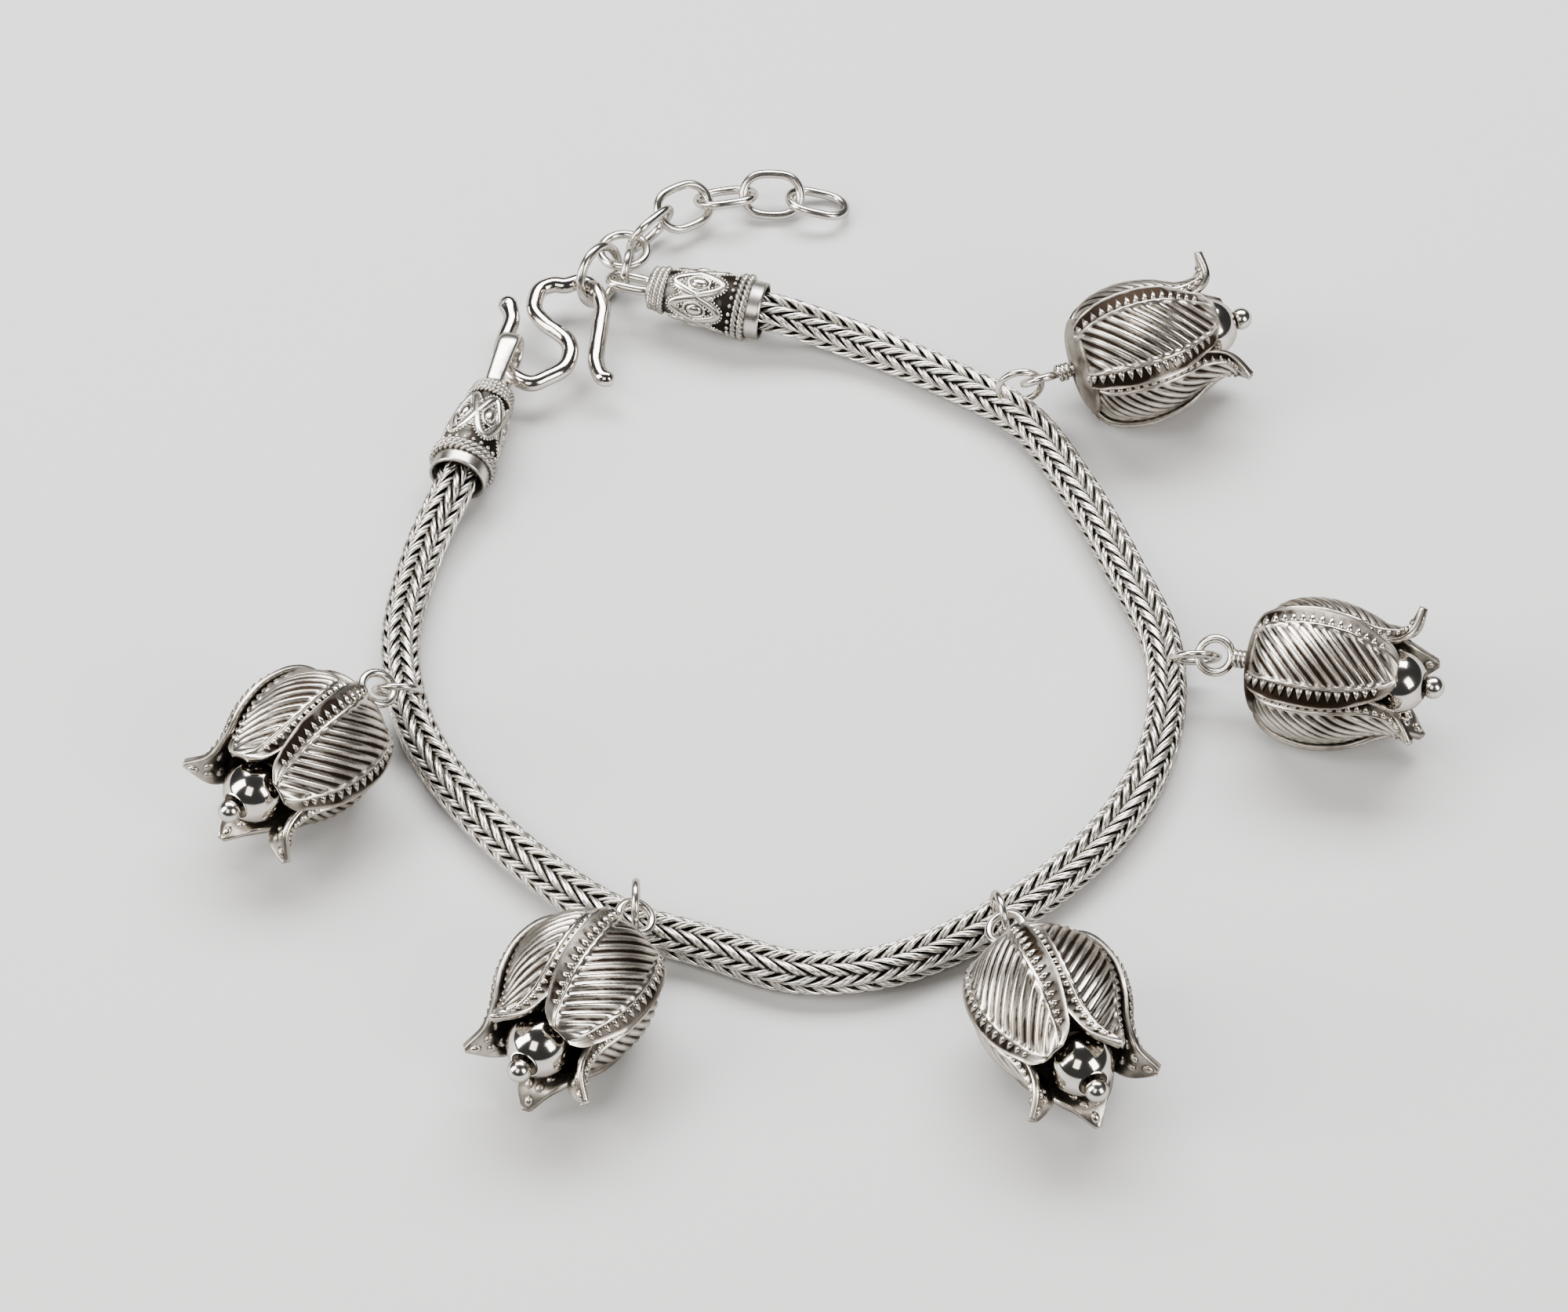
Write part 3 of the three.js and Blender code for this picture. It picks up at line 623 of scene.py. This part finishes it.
# Flower buds: each has five petals that lap over one another, on a cup, with a ball on a pin in the mouth
bud = {
    "length": 11.7, "radius": 4.75, "thick": 0.45, "lap": 0.3, "shift": 0.12, "rows": 110, "columns": 61,
    "inside": 19, "bunch": 0.92, "vein": 0.2, "veinPitch": 0.86, "veinSlope": 1.05, "band": 1.3,
    "border": 0.18, "borderWide": 0.14, "rim": 0.07, "rimWide": 0.13, "trough": 0.08, "tooth": 0.6,
    "toothRise": 0.22, "stamp": (0.44, 0.31, 0.22),
}
pin = {
    "thick": 0.6, "clear": 0.3, "ball": 2.1, "ballAt": 10.0, "granule": 0.78, "granuleAt": 12.45,
    "loop": 1.15, "loopAt": -2.5, "wrapTurns": 2.5, "wrapWire": 0.2, "wrapOut": 0.16, "wrapEnd": -0.35,
}
# the petal's rows: height, radius and half width as shares; then its tip's steps: run, half width and how
# much of the tip's turn outwards each takes
petalRows = [
    (0.04, 0.42, 0.33), (0.15, 0.85, 0.58), (0.36, 1.0, 0.69), (0.57, 0.94, 0.65), (0.76, 0.76, 0.46),
]
tipSteps = [(0.14, 0.28, 0.25), (0.14, 0.04, 1)]
closedSteps = [(0.08, 0.35, 0.25), (0.06, 0.16, 1)]  # the short, blunt tip that closes over the ball
petalEdges = [(1, 1), (-1, -1), (1, 1), (-1, 1), (-1, -1)]  # each edge over or under its neighbour
stamps = [(0.80, -0.42), (0.80, 0.42), (0.87, -0.3), (0.87, 0.3), (0.94, 0.0)]  # along and across the petal
cupRows = [(1.1, -0.03), (2.2, 0.05), (2.9, 0.28), (3.45, 0.66), (3.4, 1.0), (3.05, 1.3), (2.4, 1.1)]
# each charm's heading, the turns of its pin's loop and of its petals, how far each petal's tip turns
# outwards, and how many petals, from the first on, close over the ball
charms = [
    {"heading": -127, "loopTurn": 27, "petalTurn": 37, "tips": (-25, -5, 62, 35, 60), "closed": 2},
    {"heading": -118, "loopTurn": 21, "petalTurn": 56, "tips": (-35, 25, 48, 50, 45), "closed": 1},
    {"heading": -69.5, "loopTurn": -16, "petalTurn": 131, "tips": (-25, 42, 42, 48, 15), "closed": 1},
    {"heading": -17.5, "loopTurn": -37, "petalTurn": 118, "tips": (-30, 40, 40, 20, 70), "closed": 1},
    {"heading": 14.5, "loopTurn": 50, "petalTurn": 117, "tips": (5, 50, 40, 30, 85), "closed": 1},
]


def petalSurface(turn, edges, tip, steps):
    # rows of height, radius and half width from the base to the tip, as in the solid, on a smooth line
    table = [(a * bud["length"], o * bud["radius"], h * bud["radius"]) for a, o, h in petalRows]
    z, r, _ = table[-1]
    leanIn = -20  # the petal still leans inwards where its tip begins
    for run, half, share in steps:
        a = math.radians(leanIn + (tip - leanIn) * share)
        z, r = z + run * bud["length"] * math.cos(a), r + run * bud["length"] * math.sin(a)
        table.append((z, r, half * bud["radius"]))
    line = smoothLine(table, 30)
    along = lengthAlong(line[:, :2])
    places = np.linspace(0, along[-1], bud["rows"])
    z, r, half = (np.interp(places, along, line[:, k]) for k in range(3))
    slope = unit(np.stack([np.gradient(z), np.gradient(r)], -1))
    tail = np.clip((places - 0.68 * along[-1]) / (0.2 * along[-1]), 0, 1)
    ease = np.clip(places / (0.12 * along[-1]), 0, 1) * (1 - 0.6 * tail)

    def at(u, push):
        # u runs across the petal from -1 to 1, push along its outward normal, both (rows, columns); the
        # angle is the petal's turn plus u times its bend, and its edges are lifted by u squared
        sign = np.where(u < 0, edges[0], edges[1])
        lift = ease[:, None] * (bud["shift"] * sum(edges) / 2 + bud["lap"] * u * u * sign)
        bend = np.minimum(half / np.maximum(r, 1.6), 0.95)[:, None]
        angle = turn + u * bend
        push = push + lift
        return roundAxis(angle, r[:, None] + slope[:, :1] * push, z[:, None] - slope[:, 1:] * push)

    return at, places, half


def petalParts(turn, edges, tip, steps):
    # the petal's outside pushed out by its relief, its plain inside, the teeth and the stamped beads
    at, places, half = petalSurface(turn, edges, tip, steps)
    length, halfThick = places[-1], bud["thick"] / 2
    # the columns bunch towards the two edges, where the bands are
    spread = np.sin(np.linspace(-1, 1, bud["columns"]) * np.pi / 2 * bud["bunch"])
    u = np.broadcast_to(spread / np.sin(np.pi / 2 * bud["bunch"]), (len(places), bud["columns"]))
    fromEdge = (1 - np.abs(u)) * half[:, None]
    begun = np.clip(places / (0.1 * length), 0, 1) * np.clip((length - places) / (0.12 * length), 0, 1)
    begun = begun[:, None]
    band = bud["band"] * np.clip(half / half.max(), 0.3, 1)[:, None] ** 0.8
    # veins: ridges that slant over the field from one border towards the tip at the other
    phase = (places[:, None] - u * half[:, None] * bud["veinSlope"]) / bud["veinPitch"]
    ridge = np.abs(np.sin(np.pi * phase)) ** 1.15
    field = np.clip((fromEdge - band - 0.08) / 0.12, 0, 1) * begun
    border = np.exp(-(((fromEdge - band) / bud["borderWide"]) ** 2)) * begun
    rim = np.exp(-((fromEdge / bud["rimWide"]) ** 2)) * begun
    trough = np.clip((band - 0.1 - fromEdge) / 0.12, 0, 1) * begun
    push = bud["vein"] * (ridge - 0.6) * field + bud["border"] * border + bud["rim"] * rim
    push = push - bud["trough"] * trough
    # the hollows between the veins and the ground of the bands have gone dark, and the petal is darker
    # towards its base near the neck
    nearBase = np.clip(1 - places / (0.22 * length), 0, 1)[:, None]
    deep = field * np.clip(1.3 - 1.7 * ridge, 0, 1) + 0.85 * trough * (1 - rim) + 0.55 * nearBase
    deep = np.clip(deep * (1 - border), 0, 1)
    outer = at(u, halfThick + push)
    v = np.broadcast_to(np.linspace(1, -1, bud["inside"]), (len(places), bud["inside"]))
    inner = at(v * 0.985, np.full(v.shape, -halfThick))
    # the inside is painted darker as shade deep in the bud, less towards the tip
    insideShade = np.interp(places, [0.6 * length, 0.85 * length], [0.5, 0.22])[:, None]
    recess = np.concatenate([deep, np.broadcast_to(insideShade, v.shape)], 1)
    parts = [rings(np.concatenate([outer, inner], 1)[None], recess[None])]

    def lineAt(side, fromRim, lift, where):
        # a line along one edge of the petal, a given way from its rim, at given places
        across = (side * (1 - fromRim / half))[:, None]
        line = at(across, np.full(across.shape, lift))[:, 0]
        return np.stack([np.interp(where, places, line[:, k]) for k in range(3)], -1)

    # teeth along both edges, their feet on the border and their tips towards the rim
    along = np.arange(0.1 * length, 0.92 * length, bud["tooth"])
    halfFoot = 0.44 * bud["tooth"]
    feetIn, tipsIn = 0.9 * band[:, 0], 0.3 * band[:, 0]
    for side in (-1, 1):
        feet = np.stack([lineAt(side, feetIn, halfThick, along + s * halfFoot) for s in (-1, 1)], 1)
        tips = lineAt(side, tipsIn, halfThick, along)
        outward = unit(tips - lineAt(side, tipsIn, 0.0, along))
        parts.append(teeth(feet, tips, outward, bud["toothRise"], (0.5, 0.1, 0.0)))
    # a few beads stamped on the inside of the tip
    for share, sideways in stamps:
        row = int(share * len(places))
        spot, grid = slice(row, row + 1), np.full((len(places), 1), sideways)
        low = at(grid, np.full(grid.shape, -halfThick))[:, 0]
        outward = unit(low - at(grid, np.zeros(grid.shape))[:, 0])
        forward = unit(np.gradient(low, axis=0))
        parts.append(domes(low[spot], forward[spot], outward[spot], bud["stamp"]))
    return parts


def cupPart():
    # the petals' base cup, turned, with a bore for the pin
    bore = pin["thick"] / 2 + pin["clear"]
    return lathe(smoothLine([(bore, 0), *cupRows, (bore, 0.85)], 5), 48, 0.5, closedAlong=True)


def ballPart():
    # the sphere's arc from the bore round to the seat of the granule, then the seat and the bore's wall
    r, bore, seat = pin["ball"], pin["thick"] / 2 + pin["clear"], pin["granule"] + pin["clear"]
    apart = pin["granuleAt"] - pin["ballAt"]
    height = (apart**2 + r**2 - seat**2) / (2 * apart)
    arc = np.linspace(math.asin(bore / r), math.pi - math.acos(height / r), 40)
    outside = np.stack([r * np.sin(arc), pin["ballAt"] - r * np.cos(arc)], -1)
    dip = np.linspace(math.acos((apart - height) / seat), math.asin(bore / seat), 10)
    hollow = np.stack([seat * np.sin(dip), pin["granuleAt"] - seat * np.cos(dip)], -1)
    deep = np.concatenate([np.zeros(len(arc)), np.full(len(dip), 0.8)])
    return lathe(np.vstack([outside, hollow]), 64, deep, closedAlong=True)


def pinParts(loopTurn):
    # a stem that ends in a round granule, a wire wound round its neck, and a loop turned about its axis
    s, granule, neck = pin["thick"] / 2, pin["granule"], pin["loopAt"] + pin["loop"]
    arc = np.linspace(math.asin(s / granule), math.pi - 0.02, 22)
    head = np.stack([granule * np.sin(arc), pin["granuleAt"] - granule * np.cos(arc)], -1)
    stem = np.stack([np.full(8, s), np.linspace(neck, head[0, 1], 8, endpoint=False)], -1)
    deep = np.concatenate([np.full(len(stem), 0.3), np.zeros(len(arc))])
    parts = [lathe(np.vstack([stem, head]), 32, deep)]
    t = np.linspace(0, 1, 60)
    turn, reach, start = t * pin["wrapTurns"] * 2 * np.pi, s + pin["wrapOut"], neck + pin["wrapWire"]
    path = roundAxis(turn, reach, start + t * (pin["wrapEnd"] - start))
    parts.append(wires(path[None], pin["wrapWire"], 10, (0, 0, 1), 0.15))
    a = math.radians(loopTurn)
    face = np.array([math.sin(a), math.cos(a), 0])
    axes = np.array([(0, 0, 1), np.cross(face, (0, 0, 1)), face])
    parts.append(placed(ovalWire(pin["loop"], 0, pin["thick"], 0.05), (0, 0, pin["loopAt"]), axes))
    return parts


def charmFrame(name, heading):
    # the pin is even about its axis, so its longest direction is the charm's axis; its far end is the
    # granule's pole
    points = nodePoints("headpin_" + name)
    middle, axes = ownAxes(points)
    a = math.radians(heading)
    z = axes[0] * np.sign(axes[0] @ (math.cos(a), math.sin(a), 0))
    top = ((points - middle) @ z).max()
    x = np.cross((0, 0, 1), (math.cos(a), math.sin(a), 0))
    x = unit(x - z * (x @ z))
    return middle + z * (top - pin["granuleAt"] - pin["granule"]), np.array([x, np.cross(z, x), z])


def makeCharm(number, charm):
    # the cup and the petals at equal turns round it, then the ball and the pin, all in the charm's frame
    name = str(number)
    origin, axes = charmFrame(name, charm["heading"])
    parts = [cupPart()]
    for k, (edges, tip) in enumerate(zip(petalEdges, charm["tips"])):
        turn = math.radians(charm["petalTurn"] + 360 * k / len(petalEdges))
        parts += petalParts(turn, edges, tip, closedSteps if k < charm["closed"] else tipSteps)
    for label, made, material, slotName, node in (
        ("bud_petals_", parts, petalSilver, "petal_silver", "bud_"),
        ("bead_ball_", [ballPart()], polishedSilver, "polished_silver", "bead_"),
        ("headpin_wire_", pinParts(charm["loopTurn"]), ringSilver, "ring_silver", "headpin_"),
    ):
        laid = [placed(part, origin, axes) for part in made]
        makePiece(label + name, laid, material, [node + name])


for number, charm in enumerate(charms, 1):
    makeCharm(number, charm)

# Floor, lights and camera, in metres
studio = {"floor": 0.45, "roughness": 0.6, "reach": 1.5, "world": 0.06, "worldColor": (0.9, 0.92, 0.95, 1)}
# place, width and depth, power and colour of the soft lights, which all point at the middle
lamps = {
    "overBack": ((0.0, 0.34, 0.5), (0.7, 0.3), 13, (1, 1, 1)),
    "leftSide": ((-0.45, -0.08, 0.3), (0.22, 0.5), 5.5, (1, 0.98, 0.95)),
    "rightFront": ((0.4, -0.32, 0.35), (0.22, 0.35), 3.5, (1, 0.96, 0.91)),
    "byCamera": ((-0.16, -0.36, 0.42), (0.2, 0.28), 1.0, (1, 0.93, 0.85)),
}
view = {"elevation": 52, "lens": 108, "sensor": 36, "away": 0.323, "near": 0.01, "far": 10}


def facing(direction):
    # the turn that points a light or the camera along a direction
    return Vector(direction).to_track_quat("-Z", "Y").to_euler()


def addObject(name, data):
    made = bpy.data.objects.new(name, data)
    bpy.context.scene.collection.objects.link(made)
    return made


def makeFloor():
    material = bpy.data.materials.new("paleFloor")
    material.use_nodes = True
    shade = studio["floor"]
    setInputs(material.node_tree.nodes["Principled BSDF"],
              {"Base Color": (shade, shade, shade, 1), "Roughness": studio["roughness"]})
    mesh, reach = bpy.data.meshes.new("floor"), studio["reach"]
    corners = [(-reach, -reach, 0), (reach, -reach, 0), (reach, reach, 0), (-reach, reach, 0)]
    mesh.from_pydata(corners, [], [(0, 1, 2, 3)])
    mesh.materials.append(material)
    addObject("floor", mesh)


def makeLights():
    world = bpy.data.worlds.new("studio")
    bpy.context.scene.world = world
    world.use_nodes = True
    setInputs(world.node_tree.nodes["Background"],
              {"Color": studio["worldColor"], "Strength": studio["world"]})
    for name, (place, size, power, color) in lamps.items():
        light = bpy.data.lights.new(name, "AREA")
        light.shape, light.size, light.size_y = "RECTANGLE", size[0], size[1]
        light.energy, light.color = power, color
        lamp = addObject(name, light)
        lamp.location, lamp.rotation_euler = place, facing(-np.array(place))


def makeCamera():
    camera = addObject("camera", bpy.data.cameras.new("camera"))
    bpy.context.scene.camera = camera
    tilt = math.radians(view["elevation"])
    back = np.array([0, -math.cos(tilt), math.sin(tilt)])
    camera.location = laidShift * millimetre + back * view["away"]
    camera.rotation_euler = facing(-back)
    camera.data.lens, camera.data.sensor_width = view["lens"], view["sensor"]
    camera.data.sensor_fit = "HORIZONTAL"
    camera.data.clip_start, camera.data.clip_end = view["near"], view["far"]


makeFloor()
makeLights()
makeCamera()
print("made floor, lights and camera")
